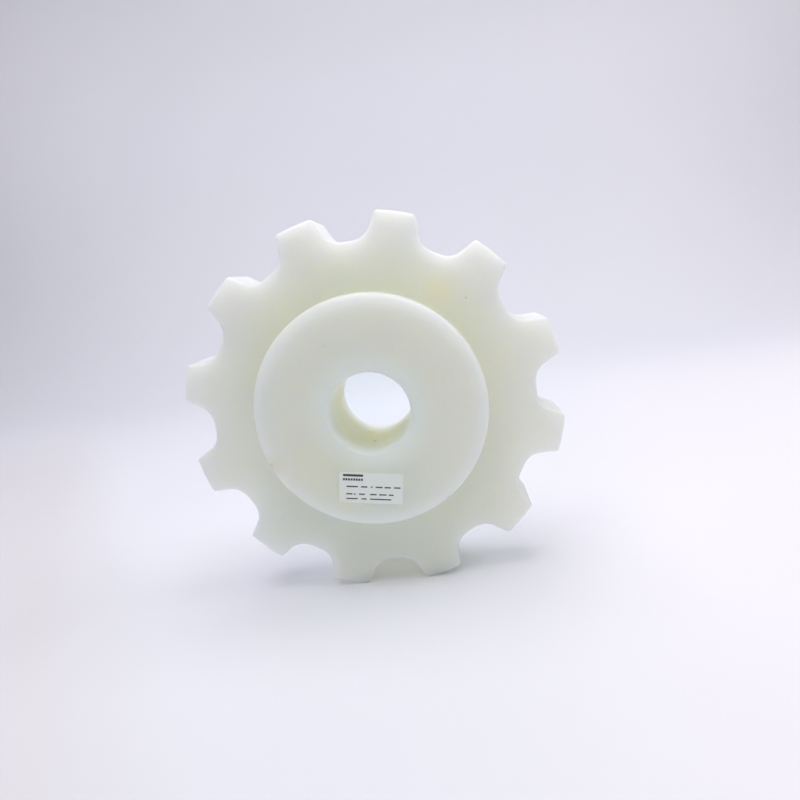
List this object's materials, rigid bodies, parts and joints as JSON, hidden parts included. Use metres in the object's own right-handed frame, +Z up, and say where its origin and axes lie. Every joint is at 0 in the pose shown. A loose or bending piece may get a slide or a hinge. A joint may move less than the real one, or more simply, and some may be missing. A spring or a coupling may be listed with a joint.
{
  "type": "sprocket",
  "caption": "Toothed plate sprocket with a round hub on both faces and a plain centre bore, in milky translucent plastic, with a small label on one hub face.",
  "frame": {"origin": "on the wheel's axis, half way through the toothed plate", "axes": "+Y along the axis from the labelled hub face to the other, +Z up between the two top teeth, +X to the right as seen from the labelled face; the wheel stands on its two lowest teeth"},
  "size_m": [0.1504, 0.0446, 0.1504],
  "materials": {
    "milky_plastic": "machined, faintly glossy, translucent",
    "label_film": "matte printed label"
  },
  "bodies": {
    "root": {"sprocket": "milky_plastic", "label": "label_film"}
  },
  "joints": []
}
